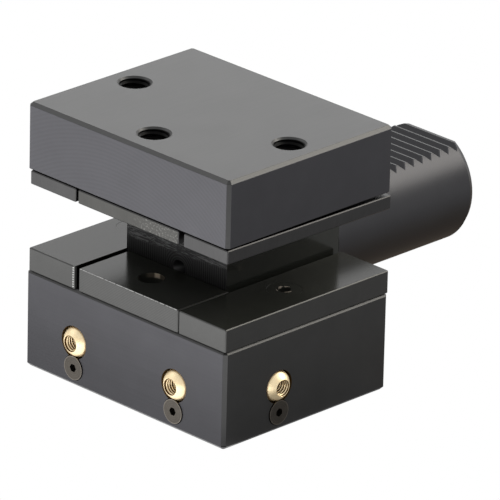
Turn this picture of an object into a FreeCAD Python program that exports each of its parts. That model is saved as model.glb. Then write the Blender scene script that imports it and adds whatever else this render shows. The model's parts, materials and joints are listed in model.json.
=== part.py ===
import FreeCAD, Part
import math
import os

# Turret tool holder with a serrated cylindrical shank and three tool seats.
# Millimetres. The origin is where the shank's axis meets the contact face at the back.
# +Y runs out of the holder along the shank, +X to the right, +Z up.

# Holder body
BODY_WIDTH = 90.0
BODY_DEPTH = 72.0
TOP_ABOVE_AXIS = 49.2
BOTTOM_BELOW_AXIS = 40.8
SIDE_SEAT_WIDTH = 22.5
FRONT_SEAT_DEPTH = 22.4
TOP_BLOCK_UNDERSIDE = 26.65
EDGE_CHAMFER = 1.1
SEAT_EDGE_CHAMFER = 0.9
UNDERSIDE_CHAMFER = 0.35
POST_CENTRE_HOLE_D = 5.6
POST_CENTRE_HOLE_X = 1.4
POST_CENTRE_HOLE_Z = 0.8

# Shank and its teeth
SHANK_D = 40.0
SHANK_LENGTH = 65.0
SHANK_END_CHAMFER_LENGTH = 2.0
SHANK_END_CHAMFER_DEPTH = 1.15
TOOTH_PITCH = 4.0
TOOTH_DEPTH = 1.7
TOOTH_CREST_ABOVE_AXIS = 15.8
LAST_ROOT_FROM_END = 2.8
TOOTHED_LENGTH = 38.0
SHANK_CENTRE_HOLE_D = 8.0
SHANK_PILOT_D = 4.0
SHANK_PILOT_DEPTH = 9.0
SHANK_SEAL_SECTION = 2.1
SHANK_SEAL_LAND = 0.4
SHANK_SEAL_GROOVE_WIDTH = 2.4

# Clamp plates, which hang under the top block
CLAMP_THICKNESS = 4.6
CLAMP_TOP_GAP = 0.3
CLAMP_LEFT_SPARE = 1.9
CLAMP_RIGHT_SPARE = 3.1
CLAMP_LEFT_FROM_POST = 0.3
CLAMP_FRONT_LEFT_GAP = 1.1
CLAMP_FRONT_RIGHT_GAP = 2.3
CLAMP_RIGHT_DROOP_DEG = 0.68
CLAMP_RIGHT_LOWERED = 0.42
PLATE_EDGE_CHAMFER = 0.3

# Support plates, which lie on the bottom block
SUPPORT_THICKNESS = 7.8
SUPPORT_LEFT_SPARE = 1.4
SUPPORT_RIGHT_SPARE = 1.7
SUPPORT_LEFT_FROM_POST = 0.1
SUPPORT_FRONT_LEFT_GAP = 1.8
SUPPORT_FRONT_RIGHT_GAP = 0.4
SUPPORT_LEFT_RELIEF = 0.8
PLATE_BACK_GAP = 0.3
PLATE_POST_GAP = 0.1

# Clamp screws, hollow-hexagon set screws in the top block
CLAMP_SCREW_D = 10.0
CLAMP_SCREW_LENGTH = 16.0
CLAMP_SCREW_HEX = 5.0
CLAMP_SCREW_HEX_DEPTH = 5.0
CLAMP_SCREW_END_CHAMFER = 0.8
CLAMP_SCREW_CLEARANCE = 0.05
CLAMP_SCREW_END_GAP = 0.1
CLAMP_HOLE_MOUTH_D = 11.3
CLAMP_SIDE_FROM_SIDE = 10.5
CLAMP_SIDE_BEHIND_MIDDLE = 0.4
CLAMP_FRONT_X = 0.6
CLAMP_FRONT_FROM_FRONT = 11.0

# Small countersunk screws that hold the clamp plates to the clamp screws
RETAINER_D = 4.0
RETAINER_HEAD_D = 7.5
RETAINER_ENGAGEMENT = 6.0
RETAINER_HEX = 2.5
RETAINER_HEX_DEPTH = 1.4
RETAINER_RECESS = 0.25
RETAINER_HOLE_D = 4.8
RETAINER_SEAT_CLEARANCE = 0.25

# Screws of the support plates
SUPPORT_SIDE_SCREW_FROM_SIDE = 11.1
SUPPORT_SIDE_SCREW_BEHIND_MIDDLE = 0.5
SUPPORT_SIDE_SCREW_D = 6.0
SUPPORT_SIDE_SCREW_HEAD_D = 11.3
SUPPORT_SIDE_SCREW_LENGTH = 18.0
SUPPORT_SIDE_SCREW_HEX = 4.0
SUPPORT_SIDE_SCREW_HEX_DEPTH = 2.5
SUPPORT_SIDE_SCREW_RECESS = 0.05
SUPPORT_FRONT_SCREW_X = -0.2
SUPPORT_FRONT_SCREW_FROM_FRONT = 11.7
SUPPORT_FRONT_SCREW_D = 4.0
SUPPORT_FRONT_SCREW_HEAD_D = 7.0
SUPPORT_FRONT_SCREW_HEAD_HEIGHT = 2.8
SUPPORT_FRONT_SCREW_LENGTH = 12.0
SUPPORT_FRONT_SCREW_HEX = 2.5
SUPPORT_FRONT_SCREW_HEX_DEPTH = 1.5
SUPPORT_FRONT_COUNTERBORE_D = 8.4
SUPPORT_FRONT_COUNTERBORE_DEPTH = 6.2
SUPPORT_HOLE_CLEARANCE = 0.3

# Coolant nozzle balls and the screws that lock them
BALL_D = 11.0
BALL_CENTRE_DEPTH = 3.1
BALL_CLEARANCE = 0.05
BALL_THREAD_D = 5.4
BALL_THREAD_DEPTH = 6.5
BALL_PASSAGE_D = 4.0
BALL_MOUTH_CHAMFER = 0.1
BALL_SEAL_SECTION = 1.5
NOZZLE_FRONT_FROM_SIDE = 22.4
NOZZLE_SIDE_FROM_FRONT = 24.0
NOZZLE_Z = -25.9
LOCK_SCREW_D = 4.0
LOCK_SCREW_HEAD_D = 8.0
LOCK_SCREW_HEAD_LAND = 0.3
LOCK_SCREW_LENGTH = 12.0
LOCK_SCREW_HEX = 2.5
LOCK_SCREW_HEX_DEPTH = 1.8
LOCK_SCREW_BELOW_BALL = 8.7
LOCK_SCREW_BALL_CLEARANCE = 0.03
LOCK_SCREW_SINK_CLEARANCE = 0.25

# Coolant channels in the bottom block
CHANNEL_D = 5.0
CROSS_CHANNEL_D = 6.0
CROSS_CHANNEL_Y = -14.0
INLET_D = 6.0
INLET_X = 0.0
INLET_Z = -28.5
INLET_SEAL_SECTION = 1.8
INLET_SEAL_INNER_R = 4.0
INLET_SEAL_PROUD = 0.3
INLET_GROOVE_WIDTH = 2.4
PLUG_D = 8.0
PLUG_LENGTH = 8.0
PLUG_HEX = 4.0
PLUG_HEX_DEPTH = 4.0
PLUG_RECESS = 0.6

# Fits
THREAD_CLEARANCE = 0.03
SCREW_HOLE_SPARE = 1.5
SEAL_CLEARANCE = 0.05
OVERCUT = 1.0

HALF_WIDTH = BODY_WIDTH / 2
POST_HALF_WIDTH = HALF_WIDTH - SIDE_SEAT_WIDTH
POST_FRONT = BODY_DEPTH - FRONT_SEAT_DEPTH
SHANK_R = SHANK_D / 2
TEETH_START = SHANK_LENGTH - TOOTHED_LENGTH
BALL_R = BALL_D / 2
SEAT_FLOOR = -SUPPORT_THICKNESS
CLAMP_TOP = TOP_BLOCK_UNDERSIDE - CLAMP_TOP_GAP
CLAMP_BOTTOM = CLAMP_TOP - CLAMP_THICKNESS
NOZZLE_FRONT_X = HALF_WIDTH - NOZZLE_FRONT_FROM_SIDE
NOZZLE_SIDE_Y = NOZZLE_SIDE_FROM_FRONT - BODY_DEPTH

X_AXIS = FreeCAD.Vector(1, 0, 0)
Y_AXIS = FreeCAD.Vector(0, 1, 0)
Z_AXIS = FreeCAD.Vector(0, 0, 1)


def point(x, y, z):
    return FreeCAD.Vector(x, y, z)


def block(x0, x1, y0, y1, z0, z1):
    """A box between two opposite corners."""
    return Part.makeBox(x1 - x0, y1 - y0, z1 - z0, point(x0, y0, z0))


def rod(radius, start, direction, length):
    """A cylinder that starts at a point and runs along a direction."""
    return Part.makeCylinder(radius, length, start, direction)


def cone(radius_start, radius_end, start, direction, length):
    return Part.makeCone(radius_start, radius_end, length, start, direction)


def ring(centre, axis, major_radius, section):
    """A round seal: a torus about an axis."""
    return Part.makeTorus(major_radius, section / 2, centre, axis)


def hexagon(across_flats, start, direction, length):
    """A hexagonal prism, as the socket of a screw takes it."""
    corner_radius = across_flats / math.sqrt(3)
    corners = []
    for index in range(7):
        angle = math.radians(60 * index)
        corners.append(point(corner_radius * math.cos(angle), corner_radius * math.sin(angle), 0))
    prism = Part.Face(Part.makePolygon(corners)).extrude(point(0, 0, length))
    prism.Placement = FreeCAD.Placement(start, FreeCAD.Rotation(Z_AXIS, direction))
    return prism


def edge_lies_at(edge, height):
    """True where a straight edge lies level, at one height."""
    return all(abs(vertex.Point.z - height) < 1e-6 for vertex in edge.Vertexes)


def vertical(edge):
    ends = [vertex.Point for vertex in edge.Vertexes]
    return abs(ends[0].x - ends[1].x) < 1e-6 and abs(ends[0].y - ends[1].y) < 1e-6


def chamfered_block(x0, x1, y0, y1, z0, z1, sides, top, bottom):
    """A box whose upright, upper and lower edges are broken by their own chamfers."""
    shape = block(x0, x1, y0, y1, z0, z1)
    shape = shape.makeChamfer(sides, [edge for edge in shape.Edges if vertical(edge)])
    shape = shape.makeChamfer(top, [edge for edge in shape.Edges if edge_lies_at(edge, z1)])
    return shape.makeChamfer(bottom, [edge for edge in shape.Edges if edge_lies_at(edge, z0)])


def cut_all(shape, tools):
    for tool in tools:
        shape = shape.cut(tool)
    return shape


def seat_axes(from_side, behind_middle, front_x, from_front):
    """Where the three upright screws stand: at mid depth on the sides, and near the front face."""
    side_x = HALF_WIDTH - from_side
    side_y = behind_middle - BODY_DEPTH / 2
    return {"left": (-side_x, side_y), "front": (front_x, from_front - BODY_DEPTH), "right": (side_x, side_y)}


CLAMP_AXES = seat_axes(CLAMP_SIDE_FROM_SIDE, CLAMP_SIDE_BEHIND_MIDDLE, CLAMP_FRONT_X, CLAMP_FRONT_FROM_FRONT)
SUPPORT_AXES = seat_axes(SUPPORT_SIDE_SCREW_FROM_SIDE, SUPPORT_SIDE_SCREW_BEHIND_MIDDLE,
                         SUPPORT_FRONT_SCREW_X, SUPPORT_FRONT_SCREW_FROM_FRONT)

# Each nozzle: the point where its axis leaves the body, and the outward direction.
NOZZLES = {
    "front_left": (point(-NOZZLE_FRONT_X, -BODY_DEPTH, NOZZLE_Z), -Y_AXIS),
    "front_right": (point(NOZZLE_FRONT_X, -BODY_DEPTH, NOZZLE_Z), -Y_AXIS),
    "side_left": (point(-HALF_WIDTH, NOZZLE_SIDE_Y, NOZZLE_Z), -X_AXIS),
    "side_right": (point(HALF_WIDTH, NOZZLE_SIDE_Y, NOZZLE_Z), X_AXIS),
}

# The ball's seal lies against the ball's back and the socket's floor.
BALL_SEAL_MAJOR_R = BALL_R + BALL_CLEARANCE - BALL_SEAL_SECTION / 2 - 4 * SEAL_CLEARANCE
BALL_SEAL_CENTRE_DEPTH = BALL_CENTRE_DEPTH + math.sqrt(
    (BALL_R + BALL_SEAL_SECTION / 2 + SEAL_CLEARANCE) ** 2 - BALL_SEAL_MAJOR_R ** 2)
SOCKET_DEPTH = BALL_SEAL_CENTRE_DEPTH + BALL_SEAL_SECTION / 2 + SEAL_CLEARANCE

# A lock screw stands out of the face by what its cone needs to rest on the ball.
LOCK_SCREW_HEAD_R = LOCK_SCREW_HEAD_D / 2
LOCK_SCREW_PROUD = (math.sqrt(2) * (BALL_R + LOCK_SCREW_BALL_CLEARANCE) - LOCK_SCREW_BELOW_BALL
                    + LOCK_SCREW_HEAD_R + LOCK_SCREW_HEAD_LAND - BALL_CENTRE_DEPTH)


def lock_screw_head_top(nozzle):
    """The centre of a lock screw's head, and the direction that it faces."""
    face_point, outward = NOZZLES[nozzle]
    return face_point - Z_AXIS * LOCK_SCREW_BELOW_BALL + outward * LOCK_SCREW_PROUD, outward


def plain_shank():
    """The shank from inside the body to where the teeth begin."""
    return rod(SHANK_R, point(0, -OVERCUT, 0), Y_AXIS, TEETH_START + OVERCUT)


def toothed_shank():
    """The rest of the shank, with its teeth, end chamfer and centre hole."""
    straight = TOOTHED_LENGTH - SHANK_END_CHAMFER_LENGTH
    stretch = rod(SHANK_R, point(0, TEETH_START, 0), Y_AXIS, straight)
    end_start = point(0, TEETH_START + straight, 0)
    end_radius = SHANK_R - SHANK_END_CHAMFER_DEPTH
    end = cone(SHANK_R, end_radius, end_start, Y_AXIS, SHANK_END_CHAMFER_LENGTH)
    return cut_all(stretch.fuse(end), [tooth_cutter(), shank_centre_hole()])


def tooth_cutter():
    """What the teeth leave out: a flat above the crests, and a row of V grooves below it."""
    crest = TOOTH_CREST_ABOVE_AXIS
    above = SHANK_R + OVERCUT
    outline = [point(-above, TEETH_START, crest)]
    root = SHANK_LENGTH - LAST_ROOT_FROM_END
    roots = []
    while root - TOOTH_DEPTH > TEETH_START:
        roots.append(root)
        root -= TOOTH_PITCH
    for root in reversed(roots):
        outline.append(point(-above, root - TOOTH_DEPTH, crest))
        outline.append(point(-above, root, crest - TOOTH_DEPTH))
        outline.append(point(-above, root + TOOTH_DEPTH, crest))
    outline.append(point(-above, SHANK_LENGTH + TOOTH_PITCH, crest))
    outline.append(point(-above, SHANK_LENGTH + TOOTH_PITCH, above))
    outline.append(point(-above, TEETH_START, above))
    outline.append(outline[0])
    return Part.Face(Part.makePolygon(outline)).extrude(point(2 * above, 0, 0))


def shank_seal_groove():
    """The groove at the shank's root, a short land away from the contact face."""
    floor_radius = SHANK_R - SHANK_SEAL_SECTION - SEAL_CLEARANCE
    start = point(0, SHANK_SEAL_LAND, 0)
    outer = rod(SHANK_R + OVERCUT, start, Y_AXIS, SHANK_SEAL_GROOVE_WIDTH)
    return outer.cut(rod(floor_radius, start, Y_AXIS, SHANK_SEAL_GROOVE_WIDTH))


def shank_centre_hole():
    """A 60 degree centre in the shank's end, with its pilot hole."""
    end = point(0, SHANK_LENGTH, 0)
    radius = SHANK_CENTRE_HOLE_D / 2
    centre = cone(radius, 0, end, -Y_AXIS, radius * math.sqrt(3))
    return centre.fuse(rod(SHANK_PILOT_D / 2, end, -Y_AXIS, SHANK_PILOT_DEPTH))


def post_centre_hole():
    """A 60 degree centre in the post's front face."""
    radius = POST_CENTRE_HOLE_D / 2
    start = point(POST_CENTRE_HOLE_X, -POST_FRONT, POST_CENTRE_HOLE_Z)
    return cone(radius, 0, start, Y_AXIS, radius * math.sqrt(3))


def clamp_screw_hole(x, y):
    radius = CLAMP_SCREW_D / 2 + CLAMP_SCREW_CLEARANCE
    mouth = CLAMP_HOLE_MOUTH_D / 2
    hole = rod(radius, point(x, y, TOP_BLOCK_UNDERSIDE - OVERCUT), Z_AXIS, TOP_ABOVE_AXIS)
    return hole.fuse(cone(mouth, radius, point(x, y, TOP_ABOVE_AXIS), -Z_AXIS, mouth - radius))


def support_screw_hole(seat):
    """The thread in the bottom block for a support plate's screw."""
    x, y = SUPPORT_AXES[seat]
    if seat == "front":
        radius = SUPPORT_FRONT_SCREW_D / 2 + THREAD_CLEARANCE
        end = -SUPPORT_FRONT_COUNTERBORE_DEPTH - SUPPORT_FRONT_SCREW_LENGTH
    else:
        radius = SUPPORT_SIDE_SCREW_D / 2 + THREAD_CLEARANCE
        end = -SUPPORT_SIDE_SCREW_RECESS - SUPPORT_SIDE_SCREW_LENGTH
    depth = SEAT_FLOOR - end + SCREW_HOLE_SPARE
    return rod(radius, point(x, y, SEAT_FLOOR + OVERCUT), -Z_AXIS, depth + OVERCUT)


def nozzle_socket(nozzle):
    """The round pocket that holds a ball and its seal."""
    face_point, outward = NOZZLES[nozzle]
    return rod(BALL_R + BALL_CLEARANCE, face_point + outward * OVERCUT, -outward, SOCKET_DEPTH + OVERCUT)


def lock_screw_hole(nozzle):
    """A countersink that clears the lock screw's cone, and the thread behind it."""
    top, outward = lock_screw_head_top(nozzle)
    wide = LOCK_SCREW_HEAD_R + LOCK_SCREW_SINK_CLEARANCE
    narrow = LOCK_SCREW_D / 2 + THREAD_CLEARANCE
    land = LOCK_SCREW_HEAD_LAND + LOCK_SCREW_SINK_CLEARANCE
    mouth = rod(wide, top + outward * OVERCUT, -outward, land + OVERCUT)
    sink = cone(wide, narrow, top - outward * land, -outward, wide - narrow)
    thread = rod(narrow, top, -outward, LOCK_SCREW_LENGTH + SCREW_HOLE_SPARE)
    return mouth.fuse(sink).fuse(thread)


def coolant_channels():
    """Drillings from the inlet through one cross channel to the four nozzles."""
    channels = []
    for side in (-1, 1):
        length = BODY_DEPTH + CROSS_CHANNEL_Y - SOCKET_DEPTH + OVERCUT
        start = point(side * NOZZLE_FRONT_X, -BODY_DEPTH + SOCKET_DEPTH - OVERCUT, NOZZLE_Z)
        channels.append(rod(CHANNEL_D / 2, start, Y_AXIS, length))
        start = point(side * (HALF_WIDTH - SOCKET_DEPTH + OVERCUT), NOZZLE_SIDE_Y, NOZZLE_Z)
        length = HALF_WIDTH - SOCKET_DEPTH + OVERCUT - NOZZLE_FRONT_X
        channels.append(rod(CHANNEL_D / 2, start, X_AXIS * -side, length))
    start = point(-HALF_WIDTH - OVERCUT, CROSS_CHANNEL_Y, NOZZLE_Z)
    channels.append(rod(CROSS_CHANNEL_D / 2, start, X_AXIS, HALF_WIDTH + OVERCUT + NOZZLE_FRONT_X))
    plug_depth = PLUG_RECESS + PLUG_LENGTH
    channels.append(rod(PLUG_D / 2 + THREAD_CLEARANCE, start, X_AXIS, plug_depth + OVERCUT))
    start = point(INLET_X, OVERCUT, INLET_Z)
    channels.append(rod(INLET_D / 2, start, -Y_AXIS, OVERCUT - CROSS_CHANNEL_Y))
    return channels


def inlet_seal_groove():
    inner = INLET_SEAL_INNER_R
    depth = INLET_SEAL_SECTION - INLET_SEAL_PROUD + SEAL_CLEARANCE
    start = point(INLET_X, OVERCUT, INLET_Z)
    outer = rod(inner + INLET_GROOVE_WIDTH, start, -Y_AXIS, depth + OVERCUT)
    return outer.cut(rod(inner, start, -Y_AXIS, depth + OVERCUT))


def holder_body():
    """The one-piece holder: two blocks joined by a post, with the shank at the back."""
    top = chamfered_block(-HALF_WIDTH, HALF_WIDTH, -BODY_DEPTH, 0, TOP_BLOCK_UNDERSIDE, TOP_ABOVE_AXIS,
                          EDGE_CHAMFER, EDGE_CHAMFER, UNDERSIDE_CHAMFER)
    bottom = chamfered_block(-HALF_WIDTH, HALF_WIDTH, -BODY_DEPTH, 0, -BOTTOM_BELOW_AXIS, SEAT_FLOOR,
                             EDGE_CHAMFER, SEAT_EDGE_CHAMFER, EDGE_CHAMFER)
    post = block(-POST_HALF_WIDTH, POST_HALF_WIDTH, -POST_FRONT, 0,
                 SEAT_FLOOR - EDGE_CHAMFER, TOP_BLOCK_UNDERSIDE + EDGE_CHAMFER)
    body = top.fuse(bottom).fuse(post).fuse(plain_shank())
    tools = [shank_seal_groove(), post_centre_hole()]
    tools += [clamp_screw_hole(x, y) for x, y in CLAMP_AXES.values()]
    tools += [support_screw_hole(seat) for seat in SUPPORT_AXES]
    tools += [nozzle_socket(nozzle) for nozzle in NOZZLES]
    tools += [lock_screw_hole(nozzle) for nozzle in NOZZLES]
    tools += coolant_channels()
    tools.append(inlet_seal_groove())
    return cut_all(body, tools).removeSplitter().fuse(toothed_shank())


def seat_span(seat, left_spare, right_spare, left_from_post, left_gap, right_gap):
    """A seat's plate in plan: the left one lies at the post, the right one flush, the front one between."""
    front = -BODY_DEPTH
    left_inner = -POST_HALF_WIDTH - left_from_post
    right_inner = HALF_WIDTH - SIDE_SEAT_WIDTH + right_spare
    if seat == "left":
        return left_inner - SIDE_SEAT_WIDTH + left_spare, left_inner, front, -PLATE_BACK_GAP
    if seat == "right":
        return right_inner, HALF_WIDTH, front, -PLATE_BACK_GAP
    return left_inner + left_gap, right_inner - right_gap, front, -POST_FRONT - PLATE_POST_GAP


def clamp_plate(seat):
    """A clamp plate: a bar with a countersunk hole, hung level or with its back end low."""
    x0, x1, y0, y1 = seat_span(seat, CLAMP_LEFT_SPARE, CLAMP_RIGHT_SPARE, CLAMP_LEFT_FROM_POST,
                               CLAMP_FRONT_LEFT_GAP, CLAMP_FRONT_RIGHT_GAP)
    plate = chamfered_block(x0, x1, y0, y1, CLAMP_BOTTOM, CLAMP_TOP,
                            PLATE_EDGE_CHAMFER, PLATE_EDGE_CHAMFER, PLATE_EDGE_CHAMFER)
    x, y = CLAMP_AXES[seat]
    hole = RETAINER_HOLE_D / 2
    sink = RETAINER_HEAD_D / 2 + RETAINER_RECESS + RETAINER_SEAT_CLEARANCE
    plate = plate.cut(rod(hole, point(x, y, CLAMP_BOTTOM - OVERCUT), Z_AXIS, CLAMP_THICKNESS + 2 * OVERCUT))
    plate = plate.cut(cone(sink, hole, point(x, y, CLAMP_BOTTOM), Z_AXIS, sink - hole))
    if seat == "right":
        plate.rotate(point(x, y, CLAMP_BOTTOM), X_AXIS, -CLAMP_RIGHT_DROOP_DEG)
        plate.translate(point(0, 0, -CLAMP_RIGHT_LOWERED))
    return plate


def clamp_lowering(seat):
    """How far a clamp stands below its highest place, as the photograph shows it."""
    return CLAMP_RIGHT_LOWERED if seat == "right" else 0.0


def clamp_screw(seat):
    """A set screw with a hollow hexagon above and a thread for the retaining screw below."""
    x, y = CLAMP_AXES[seat]
    bottom = CLAMP_TOP + CLAMP_SCREW_END_GAP - clamp_lowering(seat)
    top = bottom + CLAMP_SCREW_LENGTH
    radius = CLAMP_SCREW_D / 2
    chamfer = CLAMP_SCREW_END_CHAMFER
    screw = rod(radius, point(x, y, bottom + chamfer), Z_AXIS, CLAMP_SCREW_LENGTH - 2 * chamfer)
    screw = screw.fuse(cone(radius - chamfer, radius, point(x, y, bottom), Z_AXIS, chamfer))
    screw = screw.fuse(cone(radius, radius - chamfer, point(x, y, top - chamfer), Z_AXIS, chamfer))
    socket = hexagon(CLAMP_SCREW_HEX, point(x, y, top), -Z_AXIS, CLAMP_SCREW_HEX_DEPTH)
    thread = rod(RETAINER_D / 2 + THREAD_CLEARANCE, point(x, y, bottom), Z_AXIS, RETAINER_ENGAGEMENT)
    return cut_all(screw, [socket, thread]).removeSplitter()


def countersunk_screw(top, inward, head_d, shaft_d, length, hex_size, hex_depth, land):
    """A countersunk screw with a hollow hexagon: land, 90 degree cone and shaft."""
    head_r = head_d / 2
    shaft_r = shaft_d / 2
    height = head_r - shaft_r
    screw = cone(head_r, shaft_r, top + inward * land, inward, height)
    if land > 0:
        screw = screw.fuse(rod(head_r, top, inward, land))
    shaft_start = land + height
    screw = screw.fuse(rod(shaft_r, top + inward * shaft_start, inward, length - shaft_start))
    return screw.cut(hexagon(hex_size, top, inward, hex_depth)).removeSplitter()


def clamp_retainer(seat):
    """The small screw that goes up through a clamp plate into its clamp screw."""
    x, y = CLAMP_AXES[seat]
    top = point(x, y, CLAMP_BOTTOM + RETAINER_RECESS - clamp_lowering(seat))
    reach = CLAMP_THICKNESS - RETAINER_RECESS + CLAMP_SCREW_END_GAP + RETAINER_ENGAGEMENT - SCREW_HOLE_SPARE
    return countersunk_screw(top, Z_AXIS, RETAINER_HEAD_D, RETAINER_D, reach, RETAINER_HEX,
                             RETAINER_HEX_DEPTH, 0)


def support_plate(seat):
    """A support plate: a ground bar with the hole for its screw."""
    x0, x1, y0, y1 = seat_span(seat, SUPPORT_LEFT_SPARE, SUPPORT_RIGHT_SPARE, SUPPORT_LEFT_FROM_POST,
                               SUPPORT_FRONT_LEFT_GAP, SUPPORT_FRONT_RIGHT_GAP)
    plate = chamfered_block(x0, x1, y0, y1, SEAT_FLOOR, 0,
                            PLATE_EDGE_CHAMFER, PLATE_EDGE_CHAMFER, PLATE_EDGE_CHAMFER)
    if seat == "left":
        relief = SUPPORT_LEFT_RELIEF
        corner = [point(x1, y0, 0), point(x1 - relief, y0, 0), point(x1, y0 + relief, 0), point(x1, y0, 0)]
        wedge = Part.Face(Part.makePolygon(corner)).extrude(point(0, 0, SEAT_FLOOR))
        plate = plate.cut(wedge)
    x, y = SUPPORT_AXES[seat]
    top = point(x, y, 0)
    if seat == "front":
        hole = SUPPORT_FRONT_SCREW_D / 2 + SUPPORT_HOLE_CLEARANCE
        sink = rod(SUPPORT_FRONT_COUNTERBORE_D / 2, top, -Z_AXIS, SUPPORT_FRONT_COUNTERBORE_DEPTH)
    else:
        hole = SUPPORT_SIDE_SCREW_D / 2 + SUPPORT_HOLE_CLEARANCE
        wide = SUPPORT_SIDE_SCREW_HEAD_D / 2 + SUPPORT_SIDE_SCREW_RECESS + THREAD_CLEARANCE
        sink = cone(wide, hole, top, -Z_AXIS, wide - hole)
    return cut_all(plate, [sink, rod(hole, top, -Z_AXIS, SUPPORT_THICKNESS + OVERCUT)])


def support_screw(seat):
    x, y = SUPPORT_AXES[seat]
    if seat != "front":
        return countersunk_screw(point(x, y, -SUPPORT_SIDE_SCREW_RECESS), -Z_AXIS,
                                 SUPPORT_SIDE_SCREW_HEAD_D, SUPPORT_SIDE_SCREW_D,
                                 SUPPORT_SIDE_SCREW_LENGTH, SUPPORT_SIDE_SCREW_HEX,
                                 SUPPORT_SIDE_SCREW_HEX_DEPTH, 0)
    seat_z = -SUPPORT_FRONT_COUNTERBORE_DEPTH
    head_top = point(x, y, seat_z + SUPPORT_FRONT_SCREW_HEAD_HEIGHT)
    head = rod(SUPPORT_FRONT_SCREW_HEAD_D / 2, head_top, -Z_AXIS, SUPPORT_FRONT_SCREW_HEAD_HEIGHT)
    shaft = rod(SUPPORT_FRONT_SCREW_D / 2, point(x, y, seat_z), -Z_AXIS, SUPPORT_FRONT_SCREW_LENGTH)
    socket = hexagon(SUPPORT_FRONT_SCREW_HEX, head_top, -Z_AXIS, SUPPORT_FRONT_SCREW_HEX_DEPTH)
    return head.fuse(shaft).cut(socket)


def nozzle_ball(nozzle):
    """A brass ball turned about its own axis: a thread in front, a narrower passage behind."""
    face_point, outward = NOZZLES[nozzle]
    thread_r = BALL_THREAD_D / 2
    passage_r = BALL_PASSAGE_D / 2
    mouth_r = thread_r + BALL_MOUTH_CHAMFER
    mouth = math.sqrt(BALL_R ** 2 - mouth_r ** 2)
    back = -math.sqrt(BALL_R ** 2 - passage_r ** 2)
    thread_end = mouth - BALL_THREAD_DEPTH
    corners = [point(mouth_r, 0, mouth), point(thread_r, 0, mouth - BALL_MOUTH_CHAMFER),
               point(thread_r, 0, thread_end), point(passage_r, 0, thread_end), point(passage_r, 0, back)]
    outside = Part.Arc(corners[-1], point(BALL_R, 0, 0), corners[0]).toShape()
    inside = Part.makePolygon(corners).Edges
    section = Part.Face(Part.Wire(Part.__sortEdges__([outside] + inside)))
    ball = section.revolve(point(0, 0, 0), Z_AXIS, 360)
    centre = face_point - outward * BALL_CENTRE_DEPTH
    ball.Placement = FreeCAD.Placement(centre, FreeCAD.Rotation(Z_AXIS, outward))
    return ball


def nozzle_lock_screw(nozzle):
    top, outward = lock_screw_head_top(nozzle)
    return countersunk_screw(top, -outward, LOCK_SCREW_HEAD_D, LOCK_SCREW_D, LOCK_SCREW_LENGTH,
                             LOCK_SCREW_HEX, LOCK_SCREW_HEX_DEPTH, LOCK_SCREW_HEAD_LAND)


def nozzle_seal(nozzle):
    face_point, outward = NOZZLES[nozzle]
    centre = face_point - outward * BALL_SEAL_CENTRE_DEPTH
    return ring(centre, outward, BALL_SEAL_MAJOR_R, BALL_SEAL_SECTION)


def shank_seal():
    """The seal in its groove, drawn flush with the shank, as a bore squeezes it."""
    centre = point(0, SHANK_SEAL_LAND + SHANK_SEAL_GROOVE_WIDTH / 2, 0)
    return ring(centre, Y_AXIS, SHANK_R - SHANK_SEAL_SECTION / 2, SHANK_SEAL_SECTION)


def inlet_seal():
    major = INLET_SEAL_INNER_R + INLET_GROOVE_WIDTH / 2
    centre = point(INLET_X, INLET_SEAL_PROUD - INLET_SEAL_SECTION / 2, INLET_Z)
    return ring(centre, Y_AXIS, major, INLET_SEAL_SECTION)


def channel_plug():
    """The set screw that closes the open end of the cross channel."""
    top = point(-HALF_WIDTH + PLUG_RECESS, CROSS_CHANNEL_Y, NOZZLE_Z)
    plug = rod(PLUG_D / 2, top, X_AXIS, PLUG_LENGTH)
    return plug.cut(hexagon(PLUG_HEX, top, X_AXIS, PLUG_HEX_DEPTH))


def write(name, shape):
    shape.exportStep(os.path.join("parts", name + ".step"))
    print(name, "solids", len(shape.Solids), "volume", round(shape.Volume, 2), "valid", shape.isValid())


os.makedirs("parts", exist_ok=True)
write("holder_body", holder_body())
for seat_name in CLAMP_AXES:
    write("clamp_plate_" + seat_name, clamp_plate(seat_name))
    write("clamp_screw_" + seat_name, clamp_screw(seat_name))
    write("clamp_retainer_" + seat_name, clamp_retainer(seat_name))
    write("support_plate_" + seat_name, support_plate(seat_name))
    write("support_screw_" + seat_name, support_screw(seat_name))
for nozzle_name in NOZZLES:
    write("nozzle_ball_" + nozzle_name, nozzle_ball(nozzle_name))
    write("nozzle_lock_screw_" + nozzle_name, nozzle_lock_screw(nozzle_name))
    write("nozzle_seal_" + nozzle_name, nozzle_seal(nozzle_name))
write("shank_seal", shank_seal())
write("coolant_inlet_seal", inlet_seal())
write("channel_plug", channel_plug())
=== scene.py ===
# %% [markdown]
# # A turret tool holder, dressed for its portrait
#
# The holder arrives as CAD solids. They stay exactly where they are, and this lesson adds what the
# solids leave out: the threads in the clamp holes and in the brass nozzles, the finish of every
# steel, brass and rubber piece, and a bright studio with a camera where the photograph was taken.

# %% Load the frame
import json
import math

import bpy
import numpy as np
from mathutils import Matrix, Vector


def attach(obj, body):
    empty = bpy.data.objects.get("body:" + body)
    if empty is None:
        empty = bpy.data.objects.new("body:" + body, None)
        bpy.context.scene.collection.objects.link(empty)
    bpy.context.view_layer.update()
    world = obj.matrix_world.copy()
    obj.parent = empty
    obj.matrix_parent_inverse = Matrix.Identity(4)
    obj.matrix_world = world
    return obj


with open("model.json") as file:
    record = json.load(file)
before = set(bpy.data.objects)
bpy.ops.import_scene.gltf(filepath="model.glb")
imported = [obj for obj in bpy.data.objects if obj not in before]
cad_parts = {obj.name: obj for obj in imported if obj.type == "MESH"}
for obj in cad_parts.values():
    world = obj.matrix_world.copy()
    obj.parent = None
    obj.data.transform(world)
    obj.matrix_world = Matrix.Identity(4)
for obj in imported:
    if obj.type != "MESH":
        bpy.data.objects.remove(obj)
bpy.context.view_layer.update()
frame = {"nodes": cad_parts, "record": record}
MM = 0.001

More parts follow.
